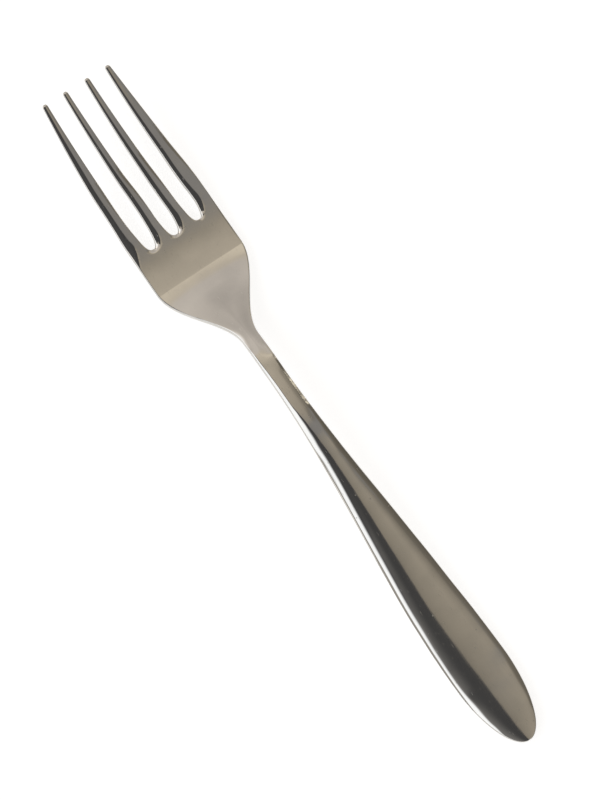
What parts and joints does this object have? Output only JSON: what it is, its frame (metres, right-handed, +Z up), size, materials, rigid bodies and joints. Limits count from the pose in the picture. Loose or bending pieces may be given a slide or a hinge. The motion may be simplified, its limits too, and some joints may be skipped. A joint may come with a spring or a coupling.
{
  "type": "table fork",
  "caption": "Slim one-piece table fork in polished stainless steel: straight tapering tines on a flat root panel, drawn-in shoulder, thin neck and teardrop handle with a rounded end.",
  "frame": {"origin": "on the table, under the middle of the fork's length and width, with the fork lying face up", "axes": "+Y from the handle to the tine tips, +X to the right, +Z up from the table"},
  "size_m": [0.0266, 0.205, 0.0094],
  "materials": {
    "polished_steel": "polished stainless steel, slightly warm, with fine wiping scratches from use"
  },
  "bodies": {
    "root": {"tine_1": "polished_steel", "tine_2": "polished_steel", "tine_3": "polished_steel", "tine_4": "polished_steel", "root_panel": "polished_steel", "shoulder": "polished_steel", "neck": "polished_steel", "handle": "polished_steel"}
  },
  "joints": []
}
